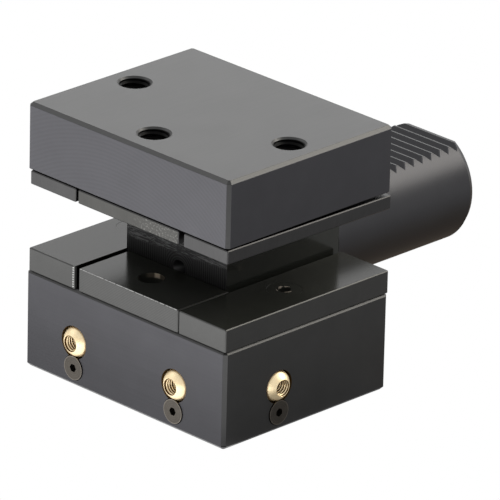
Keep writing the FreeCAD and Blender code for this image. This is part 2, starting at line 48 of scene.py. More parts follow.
# %% [markdown]
# ## The camera
#
# A camera that is placed by eye leaves every edge a little off. So this one was fitted to points of
# the photograph whose place on the holder is known, and then eased until the outline fitted too. It
# stands more than two metres away with a long lens, so upright edges stay nearly parallel. The fit
# gives the turn about Z, the height above the horizon, a small roll, and how many millimetres the
# lens axis passes from the frame's origin.

# %% Place the camera
PICTURE_PIXELS = 500
FOCAL_PIXELS = 7345.3
SENSOR_MM = 36.0
TURN = math.radians(44.825)
HEIGHT = math.radians(22.758)
ROLL = math.radians(1.371)
OFFSET_RIGHT = -12.17
OFFSET_UP = -6.735
DISTANCE = 2336.819
NEAREST_SEEN = 100.0
FARTHEST_SEEN = 20000.0


def camera_axes(turn, height, roll):
    """Right, up and forward of a camera that is turned about Z, tipped down, then rolled."""
    level_right = np.array([math.cos(turn), math.sin(turn), 0.0])
    level_forward = np.array([-math.sin(turn), math.cos(turn), 0.0])
    forward = level_forward * math.cos(height) - np.array([0.0, 0.0, math.sin(height)])
    level_up = np.cross(level_right, forward)
    right = math.cos(roll) * level_right + math.sin(roll) * level_up
    up = math.cos(roll) * level_up - math.sin(roll) * level_right
    return right, up, forward


right, up, forward = camera_axes(TURN, HEIGHT, ROLL)
place = (OFFSET_RIGHT * right + OFFSET_UP * up - DISTANCE * forward) * MM
camera_data = bpy.data.cameras.new("portrait_camera")
camera_data.sensor_width = SENSOR_MM
camera_data.lens = FOCAL_PIXELS / PICTURE_PIXELS * SENSOR_MM
camera_data.clip_start = NEAREST_SEEN * MM
camera_data.clip_end = FARTHEST_SEEN * MM
camera = bpy.data.objects.new("portrait_camera", camera_data)
turn_matrix = Matrix((right, up, -forward)).transposed().to_4x4()
camera.matrix_world = Matrix.Translation(Vector(place)) @ turn_matrix
bpy.context.scene.collection.objects.link(camera)
bpy.context.scene.camera = camera
print("camera at, mm:", [round(v / MM) for v in place], "lens", round(camera_data.lens))

# %% [markdown]
# ## Shader maths as plain Python
#
# A finish could be built by linking nodes by hand, but it is easier to read as a formula. `Value`
# wraps the output of a node, and Python's own operators on it add the Math node that they stand
# for, so `1 - mask` and `0.3 * grain` mean what they say.


# %% A small class for shader maths
class Value:
    """A number that varies over a surface. Python's operators on it add Math nodes."""

    def __init__(self, finish, socket):
        self.finish = finish
        self.socket = socket

    def math(self, operation, *others):
        """A Math node on this value and the others, in this order."""
        items = dict(enumerate((self,) + others))
        return Value(self.finish, self.finish.node("ShaderNodeMath", {"operation": operation}, items))

    def swapped(self, operation, other):
        """A Math node on the other item and this value, where a number stands on the left."""
        items = {0: other, 1: self}
        return Value(self.finish, self.finish.node("ShaderNodeMath", {"operation": operation}, items))

    def __add__(self, other):
        return self.math("ADD", other)

    def __radd__(self, other):
        return self.swapped("ADD", other)

    def __sub__(self, other):
        return self.math("SUBTRACT", other)

    def __rsub__(self, other):
        return self.swapped("SUBTRACT", other)

    def __mul__(self, other):
        return self.math("MULTIPLY", other)

    def __rmul__(self, other):
        return self.swapped("MULTIPLY", other)

    def __pow__(self, other):
        return self.math("POWER", other)

    def above(self, limit):
        """1 where the value is over the limit, else 0."""
        return self.math("GREATER_THAN", limit)

    def below(self, limit):
        """1 where the value is under the limit, else 0."""
        return self.math("LESS_THAN", limit)

    def smallest(self, other):
        return self.math("MINIMUM", other)

    def largest(self, other):
        return self.math("MAXIMUM", other)

    def size(self):
        """The value without its sign."""
        return self.math("ABSOLUTE")


print("Value ready for + - * ** and comparisons")

# %% [markdown]
# ## One finish, one object
#
# Every material here starts from the place on the object, in millimetres, and ends in one shader.
# `Finish` holds what they share. Its `node` method makes any node, and the short methods after it
# stand for the patterns that come up again and again.


# %% A class for one material
class Finish:
    """One material: its node tree, the place on the object in millimetres, and its shader."""

    def __init__(self, name):
        self.material = bpy.data.materials.new(name)
        self.material.use_nodes = True
        self.tree = self.material.node_tree
        self.tree.nodes.clear()
        self.place = self.node("ShaderNodeTexCoord", out="Object")
        self.x, self.y, self.z = [
            Value(self, self.node("ShaderNodeSeparateXYZ", {}, {0: self.place}, axis)) * (1 / MM)
            for axis in "XYZ"]

    def feed(self, socket, item):
        """Puts a number, a colour, a Value or a link into a socket."""
        if isinstance(item, Value):
            item = item.socket
        if isinstance(item, bpy.types.NodeSocket):
            self.tree.links.new(item, socket)
        else:
            socket.default_value = item

    def node(self, kind, settings=None, inputs=None, out=0):
        """Makes a node, sets its settings first and its sockets after, and gives one output.

        A node that has no output takes None.
        """
        made = self.tree.nodes.new(kind)
        for key, value in (settings or {}).items():
            setattr(made, key, value)
        for key, item in (inputs or {}).items():
            self.feed(made.inputs[key], item)
        return None if out is None else made.outputs[out]

    def stretched(self, shift, scale_x, scale_y, scale_z):
        """The place multiplied by one scale per axis, then shifted along all three."""
        return self.node("ShaderNodeMapping", {"vector_type": "POINT"}, {
            "Vector": self.place, "Location": (shift, shift, shift),
            "Scale": (scale_x, scale_y, scale_z)})

    def noise(self, scale, detail=2.0, roughness=0.5, vector=None, distortion=0.0):
        """Smooth random values from 0 to 1. The scale counts bumps per metre."""
        return Value(self, self.node("ShaderNodeTexNoise", {}, {
            "Vector": vector or self.place, "Scale": scale, "Detail": detail,
            "Roughness": roughness, "Distortion": distortion}, "Fac"))

    def ramp(self, value, low, high):
        """Runs from 0 to 1 as the value runs from low to high, smoothly."""
        return Value(self, self.node("ShaderNodeMapRange", {"interpolation_type": "SMOOTHSTEP"}, {
            "Value": value, "From Min": low, "From Max": high, "To Min": 0.0, "To Max": 1.0}))

    def blend(self, mask, first, second):
        """The first colour where the mask is 0, and the second where it is 1."""
        return self.node("ShaderNodeMix", {"data_type": "RGBA"}, {0: mask, 6: first, 7: second}, 2)

    def bump(self, height, distance_mm):
        """The surface's direction, as if it rose by the distance where the height is 1."""
        return self.node("ShaderNodeBump", {}, {
            "Strength": 1.0, "Distance": distance_mm * MM, "Height": height})

    def shade(self, sockets):
        """Gives the material a Principled shader with these sockets."""
        self.show(self.node("ShaderNodeBsdfPrincipled", {}, sockets))
        print("finish", self.material.name, "with", len(self.tree.nodes), "nodes")
        return self.material

    def show(self, shader):
        """Makes a shader the material's surface."""
        self.node("ShaderNodeOutputMaterial", {}, {"Surface": shader}, None)


print("Finish ready")

# %% [markdown]
# ## Blackened steel
#
# The body is milled and ground from one piece of steel, and has a black oxide skin. A single colour
# would look like plastic, and drawn marks would need unwrapped faces. So the finish is worked out
# from the place on the object: masks tell the faces apart, and each face gets the marks of its own
# cutter. The skin has hardly a colour of its own and reflects about a twentieth of the light, so the
# finish is mostly metal, and its base colour is the share of light that it reflects. In the formulas
# a number before a pattern is the pattern's weight, and lengths are in millimetres.

# %% Sizes the finishes read
HALF_WIDTH = 45.0
DEPTH = 72.0
TOP = 49.2
BOTTOM = -40.8
BLOCK_UNDERSIDE = 26.65
SEAT_FLOOR = -7.8
POST_HALF_WIDTH = 22.5
POST_FRONT = 49.6
POST_HOLE = (1.4, 0.8)
TOOTH_CREST = 15.8
TEETH_START = 24.0
UNDER_SHANK_SKIN = 19.6
SHANK_END_CHAMFER_AT = 63.0
SHANK_END_CHAMFER_SLOPE = 0.58
SHANK_END = 65.0
CLAMP_HOLES = {"left": (-34.5, -35.6), "front": (0.6, -61.0), "right": (34.5, -35.6)}
CLAMP_MOUTH_RADIUS = 5.65
CLAMP_MOUTH_DEPTH = 0.62
NOZZLE_X = 22.6
NOZZLE_Y = -48.0
NOZZLE_Z = -25.9
NOZZLE_SOCKET_RADIUS = 5.7
FRONT_NOZZLE_BAND = 15.0
SIDE_NOZZLE_BAND = 12.0
BROKEN_EDGE = 1.0
SKIN = 0.05
print("body, mm:", 2 * HALF_WIDTH, "wide,", DEPTH, "deep,", round(TOP - BOTTOM, 2), "high")


# %% Cutter marks
def stripes(value, pitch):
    """A wave along one direction, from -1 to 1."""
    return (value * (2 * math.pi / pitch)).math("SINE")


def arcs(u, v, centre, feed, wander=0.0):
    """Marks of a turning cutter: a wave of the distance from its centre, from -1 to 1."""
    du = u - centre[0]
    dv = v - centre[1]
    return stripes((du * du + dv * dv) ** 0.5 + wander, feed)


def share(finish, amount, tint):
    """The reflected share as a colour, with a slight tint."""
    return finish.node("ShaderNodeCombineColor", {}, {
        "Red": amount * tint[0], "Green": amount * tint[1], "Blue": amount * tint[2]})


print("cutter marks ready: stripes and arcs")


# %% Masks by place
def inside_circle(finish, centre, radius):
    """1 inside an upright cylinder about a point in plan."""
    dx = finish.x - centre[0]
    dy = finish.y - centre[1]
    return (dx * dx + dy * dy).below(radius * radius)


def hole_mask(finish, spare):
    """1 in the three clamp holes of the top block."""
    total = 0.0
    for centre in CLAMP_HOLES.values():
        total = inside_circle(finish, centre, CLAMP_MOUTH_RADIUS + spare) + total
    return total


def edge_mask(finish):
    """1 on the broken edges round the top, where the skin has rubbed thin."""
    to_side = (HALF_WIDTH - finish.x.size()).below(BROKEN_EDGE)
    to_front = (finish.y + DEPTH).below(BROKEN_EDGE)
    to_top = (TOP - finish.z).below(BROKEN_EDGE)
    both = to_side * to_top + to_front * to_top
    inside = (finish.x.size().below(HALF_WIDTH - SKIN) * finish.y.above(-DEPTH + SKIN)
              * finish.z.below(TOP - SKIN))
    return both.smallest(1.0) * inside


def from_nozzle_axis(finish, z):
    """The distance from the nearest level axis at a height z: of a front nozzle or a side one."""
    in_front = (finish.y.below(-DEPTH + FRONT_NOZZLE_BAND)
                * finish.x.size().below(HALF_WIDTH - SIDE_NOZZLE_BAND))
    dx = finish.x.size() - NOZZLE_X
    dy = finish.y - NOZZLE_Y
    across = dx * in_front + dy * (1 - in_front)
    dz = finish.z - z
    return (across * across + dz * dz) ** 0.5


print("clamp holes that the masks know:", list(CLAMP_HOLES))

# %% Marks on the post
POST_RIB_PITCH = 0.95
POST_HOLE_FEED = 0.9
POST_HOLE_MARKS = (5.0, 6.5)
SCRATCHES_START = 5.2
SCRATCHES_FULL = 6.2
SCRATCHES_SLOPE = 0.055


def post_marks(f):
    """Ribs on the post's front with rings round its hole, and the scratches above them."""
    from_hole = (f.x - POST_HOLE[0]).size().largest((f.z - POST_HOLE[1]).size())
    near_hole = f.ramp(from_hole, POST_HOLE_MARKS[1], POST_HOLE_MARKS[0])
    ribs = stripes(f.x, POST_RIB_PITCH) * (1 - near_hole)
    rings = arcs(f.x, f.z, POST_HOLE, POST_HOLE_FEED) * near_hole
    up_post = f.z - SCRATCHES_SLOPE * f.x
    pattern = (ribs + rings) * f.ramp(up_post, SCRATCHES_FULL, SCRATCHES_START)
    scuffs = f.noise(1.0, 3.0, 0.65, f.stretched(4.0, 230.0, 230.0, 2400.0), 1.2)
    scratches = f.ramp(scuffs, 0.49, 0.57) * f.ramp(up_post, SCRATCHES_START, SCRATCHES_FULL)
    return pattern, scratches


print("post: ribs up to", SCRATCHES_START, "mm, scratches from", SCRATCHES_FULL, "mm")


# %% Masks on the shank
def shank_masks(f):
    """1 on the crests of the teeth, and 1 under the shank's skin: in the teeth and in its hole."""
    crests = f.y.above(TEETH_START) * f.z.above(TOOTH_CREST - SKIN)
    past_chamfer = (f.y - SHANK_END_CHAMFER_AT).largest(0.0)
    from_axis = (f.x * f.x + f.z * f.z) ** 0.5 + SHANK_END_CHAMFER_SLOPE * past_chamfer
    in_teeth = f.y.above(SKIN) * f.y.below(SHANK_END - SKIN) * from_axis.below(UNDER_SHANK_SKIN)
    return crests, in_teeth


print("teeth from", TEETH_START, "to", SHANK_END, "mm")

# %% The body's finish
BODY_SHARE = 0.042
POST_SHARE = 0.015
METAL_PART = 0.8
MILL_CENTRE = (-6.0, -28.0)
MILL_FEED = 1.3
SHANK_FEED = 0.7
HOLE_SPARE = 0.3
LOW_EDGE = 1.5
SOCKET_BROWN = (0.12, 0.075, 0.02, 1)
OXIDE_TINT = (0.985, 0.975, 1.085)


def body_steel():
    """Body finish: black oxide over milled faces, each face with marks of its own."""
    f = Finish("black_oxide_body")
    on_top = f.z.above(TOP - SKIN)
    on_front = f.y.below(-DEPTH + SKIN)
    on_side = f.x.size().above(HALF_WIDTH - SKIN)
    upper = f.z.above(BLOCK_UNDERSIDE - 1)
    on_shank = f.y.above(SKIN)
    at_post = f.z.above(SEAT_FLOOR) * f.z.below(BLOCK_UNDERSIDE) * f.y.below(SKIN)
    post_front = at_post * (f.y + POST_FRONT).size().below(SKIN)
    post_side = at_post * (f.x.size() - POST_HALF_WIDTH).size().below(SKIN)
    mouths_end = TOP - CLAMP_MOUTH_DEPTH
    in_holes = f.z.below(mouths_end) * f.z.above(BLOCK_UNDERSIDE) * hole_mask(f, -HOLE_SPARE)
    rims = f.z.below(TOP - SKIN) * f.z.above(mouths_end) * hole_mask(f, HOLE_SPARE)
    edge = edge_mask(f)
    pattern, scratches = post_marks(f)
    crests, in_teeth = shank_masks(f)

    mottle = f.noise(90.0, 4.0, 0.6)
    stains = f.ramp(f.noise(28.0, 3.0, 0.55), 0.60, 0.78)
    grain = f.noise(2600.0, 2.0, 0.7)
    ground = f.noise(1.0, 3.0, 0.6, f.stretched(7.0, 1500.0, 60.0, 1500.0))
    lengthways = f.noise(1.0, 2.0, 0.5, f.stretched(1.0, 25.0, 25.0, 1700.0))
    milled = arcs(f.x, f.z, MILL_CENTRE, MILL_FEED, f.noise(60.0, 2.0, 0.5) * 0.5)
    turned = stripes(f.y, SHANK_FEED)

    front_upper = on_front * upper
    front_lower = on_front * (1 - upper)
    amount = (BODY_SHARE + 0.012 * (mottle - 0.5) + 0.006 * (grain - 0.5)
              + 0.0035 * milled * front_upper + 0.008 * (lengthways - 0.5) * front_lower
              + 0.003 * (ground - 0.5) * on_top + 0.001 * turned * on_shank)
    amount = amount * (1 + 0.18 * stains * on_front) * (1 + 0.35 * edge) * (1 + 0.25 * rims)
    # Painted shade: the top face is made a little darker.
    amount = amount * (1 + 0.06 * front_upper) * (1 - 0.08 * on_top)
    # Painted shade: the post under the top block is darker than the body, on its front here and on its
    # sides below; its sides also take a browner tint.
    post_share = POST_SHARE + 0.011 * pattern + 0.06 * scratches
    amount = amount * (1 - post_front) + post_share * post_front
    # Painted shade: a strip along the bottom edges is darker.
    low_edge_shade = (f.z.below(BOTTOM + LOW_EDGE) * f.z.above(BOTTOM + SKIN) * (1 - on_front)
                * (1 - on_side) * f.y.below(-SKIN))
    # Painted shade: the insides of the clamp holes are darker.
    amount = amount * (1 - 0.38 * post_side) * (1 - 0.85 * in_holes) * (1 - 0.62 * crests)
    # Painted shade: the tooth crests, above, and the toothed part of the shank are darker.
    amount = amount * (1 - 0.36 * in_teeth) * (1 - 0.75 * low_edge_shade)

    in_sockets = from_nozzle_axis(f, NOZZLE_Z).below(NOZZLE_SOCKET_RADIUS) * (1 - upper)
    in_sockets = in_sockets * (1 - on_front) * (1 - on_side)
    cool = 0.6 * on_shank - 1.4 * post_side
    skin = f.blend(on_front.largest(on_side * upper),
                   share(f, amount, (1 - 0.03 * cool.size(), 1 - 0.02 * on_shank, 1 + 0.10 * cool)),
                   share(f, amount, OXIDE_TINT))
    rough = (0.40 + 0.06 * (mottle - 0.5) + 0.03 * milled * front_upper
             + 0.05 * (ground - 0.5) * on_top - 0.02 * on_shank - 0.24 * post_side
             - 0.04 * on_side + 0.1 * post_front)
    height = (0.22 * milled * front_upper + 0.8 * lengthways * front_lower
              + 0.7 * pattern * post_front + 0.25 * grain + 0.35 * ground * on_top
              + 0.1 * turned * on_shank)
    metal = METAL_PART + (1 - METAL_PART) * in_holes - 0.35 * post_side
    return f.shade({"Base Color": f.blend(in_sockets, skin, SOCKET_BROWN), "Roughness": rough,
                    "Metallic": metal, "Normal": f.bump(height, 0.015)})


BODY_STEEL = body_steel()

# %% [markdown]
# ## The clamp plates
#
# Three thin plates hang under the top block. They are milled across. The marks could be cut into the
# mesh, but they are finer than a pixel, so a stretched noise in the colour and the bump is enough.
# The front plate's right end sparkles where its skin is thin. The plates' upper faces lie close
# under the block, in its shadow, and are kept dark. The right plate hangs lower at its back end, so
# its mask leans with it.

# %% The clamp plates' finish
CLAMP_SHARE = 0.044
CLAMP_TOP = 26.35
CLAMP_FRONT_HALF_WIDTH = 23.4
RIGHT_CLAMP_LOWERED = 0.42
RIGHT_CLAMP_SLOPE = 0.0119
RIGHT_CLAMP_MIDDLE = -35.6
SPARKLE_FROM = 0.0
SPARKLE_FULL = 10.0


def clamp_steel():
    """Clamp plates: cross-milled; the front plate's right end sparkles where its skin is thin."""
    f = Finish("milled_clamp_plate")
    cross = f.noise(1.0, 2.0, 0.6, f.stretched(2.0, 1400.0, 1400.0, 200.0))
    mottle = f.noise(120.0, 3.0, 0.6)
    speck = f.ramp(f.noise(1500.0, 1.0, 0.5), 0.50, 0.72)
    on_front_plate = f.x.size().below(CLAMP_FRONT_HALF_WIDTH) * f.y.below(-DEPTH + SKIN)
    sparkle = speck * on_front_plate * f.ramp(f.x, SPARKLE_FROM, SPARKLE_FULL)
    amount = CLAMP_SHARE + 0.012 * (mottle - 0.5) + 0.012 * (cross - 0.5) + 0.060 * sparkle
    on_right_plate = f.x.above(CLAMP_FRONT_HALF_WIDTH)
    lowered = RIGHT_CLAMP_LOWERED + (f.y - RIGHT_CLAMP_MIDDLE) * RIGHT_CLAMP_SLOPE
    on_upper = (f.z + on_right_plate * lowered).above(CLAMP_TOP - SKIN)
    amount = amount * (1 - 0.7 * on_upper)
    colour = f.blend(on_front_plate, share(f, amount, (1.0, 0.99, 1.0)),
                     share(f, amount, (1.03, 1.02, 0.97)))
    return f.shade({"Base Color": colour, "Roughness": 0.38 + 0.10 * (cross - 0.5) + 0.1 * sparkle,
                    "Metallic": 1.0, "Normal": f.bump(cross, 0.010)})


CLAMP_STEEL = clamp_steel()

# %% [markdown]
# ## The support plates
#
# The tools stand on three thicker plates. Their tops are ground as glossy as black glass and mirror
# what stands around them, which takes a low roughness and no metal. Their fronts are cross-hatched,
# with a bright worn edge above. The bright ribs at the left plate's corner, the painted shade on the
# wall beside the gap, and the counterbore's wall, painted dark with a patch painted as if lit and a
# painted glint, are only a few pixels wide, so masks draw them. Beside the post the black tops are
# painted lighter, a painted light against the shade there.

# %% The support plates' finish
SUPPORT_SHARE = 0.059
SUPPORT_TOP_SHARE = 0.018
SUPPORT_FRONT_HALF_WIDTH = 23.2
WORN_DOWN = 0.22
WORN_BACK = 0.24
RIBS_LEFT = -23.7
RIBS_RIGHT = -22.55
RIBS_BACK = 0.2
RIBS_PITCH = 0.8
GAP_MIDDLE = -22.6
GAP_HALF_WIDTH = 0.4
COUNTERBORE = (-0.2, -60.3)
COUNTERBORE_RADIUS = 4.2


def support_steel():
    """Support plates: a ground top as glossy as black glass, hatched fronts, worn front edges."""
    f = Finish("ground_support_plate")
    on_top = f.z.above(-SKIN)
    on_front = f.y.below(-DEPTH + SKIN)
    middle = f.x.size().below(SUPPORT_FRONT_HALF_WIDTH)
    hairline = f.noise(1.0, 2.0, 0.6, f.stretched(5.0, 2200.0, 40.0, 2200.0))
    mottle = f.noise(110.0, 3.0, 0.6)
    fine = f.noise(1900.0, 2.0, 0.6)
    hatch = stripes(f.x + f.z * 1.6, 0.8) * 0.5 + stripes(f.x - f.z * 1.2, 1.1) * 0.3
    on_edge = f.z.above(-WORN_DOWN) * (1 - on_top) * f.y.below(-DEPTH + WORN_BACK) * (1 - on_front)
    wear_and_glints = on_edge * middle * f.ramp(fine, 0.34, 0.50)
    at_ribs = f.x.above(RIBS_LEFT) * f.x.below(RIBS_RIGHT) * f.y.below(-DEPTH + RIBS_BACK)
    ribs = at_ribs * (1 - on_top) * stripes(f.z, RIBS_PITCH).above(0.0)
    amount = (SUPPORT_SHARE + 0.012 * (mottle - 0.5) + 0.020 * hatch * on_front * middle
              + 0.012 * (fine - 0.5) + 0.25 * wear_and_glints + 0.22 * ribs)
    # Painted shade: the end walls at the gap between the plates are darker.
    gap_shade = (f.x - GAP_MIDDLE).size().below(GAP_HALF_WIDTH) * f.y.above(-DEPTH + RIBS_BACK)
    amount = amount * (1 - 0.85 * gap_shade * (1 - on_top))

    # Painted light: the black tops are lighter beside the post, against the shade and the dark
    # reflection there.
    from_side = f.ramp(f.x.size(), POST_HALF_WIDTH + 6.0, POST_HALF_WIDTH + 0.5)
    beside_post = from_side * f.x.size().above(POST_HALF_WIDTH)
    light_painted_near_post = beside_post * f.ramp(f.y, -POST_FRONT - 4.0, -POST_FRONT + 1.0)
    black = (SUPPORT_TOP_SHARE + 0.006 * (mottle - 0.5)) * (1 + 0.35 * light_painted_near_post)
    # Painted light and shade in the counterbore: its wall is painted dark, with a warm patch painted
    # as if lit and a painted glint on it.
    wall = inside_circle(f, COUNTERBORE, COUNTERBORE_RADIUS + SKIN) * (1 - on_top)
    painted_lit_wall = wall * f.ramp(f.z, -1.9, -1.2) * f.ramp(f.x, -4.3, -3.4)
    glint = f.ramp(f.x, -2.7, -2.0) * f.ramp(f.x, -0.2, -1.0)
    dark = on_top.largest(wall)
    skin = f.blend(dark, share(f, amount, (1.0, 1.0, 0.98)), share(f, black, (0.97, 1.0, 0.86)))
    colour = f.blend(painted_lit_wall, skin, share(f, 0.14 + 0.60 * glint, (1.0, 0.86, 0.66)))
    rough = 0.42 - 0.24 * on_top + 0.04 * (hairline - 0.5) + 0.10 * painted_lit_wall - 0.15 * wear_and_glints
    return f.shade({"Base Color": colour, "Roughness": rough, "Metallic": (1 - dark).largest(painted_lit_wall),
                    "Specular IOR Level": 0.1, "Normal": f.bump(hairline, 0.002)})


SUPPORT_STEEL = support_steel()

# %% [markdown]
# ## The screws
#
# The screws are blackened too, with a brown cast, and rings of a turning tool on the heads of the
# lock screws, with a painted highlight on their rims. The screws in the side plates are ground flush
# with them. So a mask by place gives them the plates' black, and a few painted glints round the
# hexagon on the right, where one can see it.

# %% The screws' finish
SCREW_SHARE = 0.067
LOCK_SCREW_Z = -34.6
LOCK_SCREWS_BELOW = -30.0
LOCK_SCREW_RIM = 3.86
LOCK_SCREW_FEED = 0.7
SIDE_SCREW = (33.9, -35.5)
SIDE_SCREWS_BEYOND = 25.0
SIDE_SCREWS_FRONT = -52.0
SIDE_SCREWS_BACK = -10.0
SIDE_SCREWS_HALF_HEIGHT = 4.0
HEXAGON_RING = (2.05, 2.6)
HEXAGON_RING_DEPTH = 0.5
PLATE_BLACK = (0.0175, 0.018, 0.0155, 1)


def screw_steel():
    """Screws: black oxide with a brown cast; those in the side plates are ground flush and black."""
    f = Finish("browned_screw")
    mottle = f.noise(500.0, 3.0, 0.6)
    rings = f.noise(2400.0, 2.0, 0.6)
    in_plate = (f.x.size().above(SIDE_SCREWS_BEYOND) * f.z.size().below(SIDE_SCREWS_HALF_HEIGHT)
                * f.y.above(SIDE_SCREWS_FRONT) * f.y.below(SIDE_SCREWS_BACK))
    from_axis = from_nozzle_axis(f, LOCK_SCREW_Z)
    low = f.z.below(LOCK_SCREWS_BELOW)
    turned = stripes(from_axis, LOCK_SCREW_FEED) * low
    # Painted highlight: the outer rim of each lock screw's head is lighter.
    rim_highlight = from_axis.above(LOCK_SCREW_RIM) * low
    amount = (SCREW_SHARE + 0.030 * (mottle - 0.5) + 0.02 * (rings - 0.5) + 0.006 * turned
              + 0.12 * rim_highlight)
    dx = f.x.size() - SIDE_SCREW[0]
    dy = f.y - SIDE_SCREW[1]
    from_screw = (dx * dx + dy * dy) ** 0.5
    # Painted glints: a few bright bits round the hexagon of the right side screw.
    bits = f.ramp(f.noise(420.0, 1.0, 0.5), 0.47, 0.52)
    at_hexagon = (from_screw.above(HEXAGON_RING[0]) * from_screw.below(HEXAGON_RING[1])
                  * f.z.above(-HEXAGON_RING_DEPTH))
    wear_and_glints = in_plate * f.x.above(0.0) * at_hexagon * bits
    black = in_plate * (1 - wear_and_glints)
    brown = share(f, amount + 0.5 * wear_and_glints, (1.10, 0.98, 0.84))
    rough = 0.36 + 0.12 * (mottle - 0.5) - 0.17 * black + 0.3 * wear_and_glints
    return f.shade({"Base Color": f.blend(black, brown, PLATE_BLACK), "Roughness": rough,
                    "Metallic": 1 - black, "Specular IOR Level": 0.1,
                    "Normal": f.bump(f.noise(3000.0), 0.006)})


SCREW_STEEL = screw_steel()

# %% [markdown]
# ## Brass and rubber
#
# The nozzle balls are softly polished brass. One tone would look cast in gold, so two warm tones are
# clouded together, with small dark specks and with painted shade in the grooves of the thread. The
# seals are matt black with a fine grain.

# %% The brass and the rubber
BRASS_DEEP = (0.92, 0.72, 0.42, 1)
BRASS_PALE = (1.0, 0.86, 0.60, 1)
BRASS_SPECK = (0.30, 0.19, 0.08, 1)
GROOVE_SHADE = (0.10, 0.05, 0.012, 1)
GROOVE_START = 2.49
GROOVE_FULL = 2.61
GROOVE_END = 2.74
RUBBER_DARK = (0.010, 0.010, 0.010, 1)
RUBBER_PALE = (0.022, 0.021, 0.021, 1)


def polished_brass():
    """Nozzle balls: polished brass with darker specks, and painted shade in the grooves of the thread.
    """
    f = Finish("polished_brass")
    cloud = f.noise(350.0, 3.0, 0.6)
    specks = f.ramp(f.noise(1600.0, 2.0, 0.6), 0.66, 0.78)
    spotted = f.blend(0.35 * specks, f.blend(cloud, BRASS_DEEP, BRASS_PALE), BRASS_SPECK)
    from_axis = from_nozzle_axis(f, NOZZLE_Z)
    # Painted shade: the grooves of the thread are darker.
    groove = f.ramp(from_axis, GROOVE_START, GROOVE_FULL) * from_axis.below(GROOVE_END)
    rough = 0.47 + 0.10 * (cloud - 0.5) + 0.15 * specks
    return f.shade({"Base Color": f.blend(groove, spotted, GROOVE_SHADE), "Roughness": rough,
                    "Metallic": 1.0, "Normal": f.bump(f.noise(2500.0), 0.004)})


def seal_rubber():
    """Seals: matt black rubber with a fine grain."""
    f = Finish("seal_rubber")
    grain = f.noise(3500.0, 3.0, 0.7)
    return f.shade({"Base Color": f.blend(grain, RUBBER_DARK, RUBBER_PALE),
                    "Roughness": 0.72 + 0.12 * (grain - 0.5), "Metallic": 0.0,
                    "Normal": f.bump(grain, 0.02)})


BRASS = polished_brass()
RUBBER = seal_rubber()

# %% [markdown]
# ## Dress the solids
#
# Each CAD node names the slot of its material in the record. So no list of pieces is needed here:
# every node gets the finish of its slot.

# %% Give every node its finish
FINISHES = {
    "body_steel": BODY_STEEL,
    "clamp_plate_steel": CLAMP_STEEL,
    "support_plate_steel": SUPPORT_STEEL,
    "screw_steel": SCREW_STEEL,
    "brass": BRASS,
    "seal_rubber": RUBBER,
}
SLOT_OF = {row["node"]: row["material_slot"] for row in frame["record"]["subparts"]}
for node_name, node in frame["nodes"].items():
    node.data.materials.clear()
    node.data.materials.append(FINISHES[SLOT_OF[node_name]])
print("dressed", len(frame["nodes"]), "CAD nodes in", len(FINISHES), "finishes")

# %% [markdown]
# ## Cut threads
#
# The solids leave every thread as a plain hole. Where one can look in, a real thread shows its
# turns. A picture of them wouldn't hide one turn behind the next, so a thin sleeve with a helical
# ridge lines the hole. Going once around moves the ridge one pitch along the axis. The sleeve closes
# on itself through a plain outer wall, a little wider than the roots of the thread.


# %% A closed mesh from a grid
def grid_mesh(name, points):
    """A closed mesh from a grid of points that wraps round in both directions."""
    rows, columns = points.shape[:2]
    index = np.arange(rows * columns).reshape(rows, columns)
    below = np.roll(index, -1, axis=0)
    faces = np.stack([index, np.roll(index, -1, axis=1), np.roll(below, -1, axis=1), below], axis=-1)
    mesh = bpy.data.meshes.new(name)
    mesh.from_pydata(points.reshape(-1, 3), [], faces.reshape(-1, 4).tolist())
    mesh.update()
    piece = bpy.data.objects.new(name, mesh)
    bpy.context.scene.collection.objects.link(piece)
    return piece


def volume(piece):
    """The signed volume of a closed mesh of quads, negative where its faces point inwards.

    It is a sixth of the sum of a . (b x c) over the two triangles of each quad.
    """
    mesh = piece.data
    corners = np.zeros(len(mesh.vertices) * 3)
    mesh.vertices.foreach_get("co", corners)
    quads = np.zeros(len(mesh.polygons) * 4, int)
    mesh.polygons.foreach_get("vertices", quads)
    a, b, c, d = corners.reshape(-1, 3)[quads.reshape(-1, 4)].transpose(1, 0, 2)
    return (np.sum(a * np.cross(b, c)) + np.sum(a * np.cross(c, d))) / 6


def facing_out(piece):
    """The piece, turned so that its faces point outwards."""
    if volume(piece) < 0:
        piece.data.flip_normals()
    return piece


print("grid meshes ready")

# %% The thread sleeve
POINTS_ROUND = 64
RINGS_PER_TURN = 10
SLEEVE_THICKNESS = 0.04
FLANK_STEEPNESS = 1.25
ROOT_CUT = 0.12
RUN_OUT_TURNS = 0.5
NEARLY_UPRIGHT = 0.9


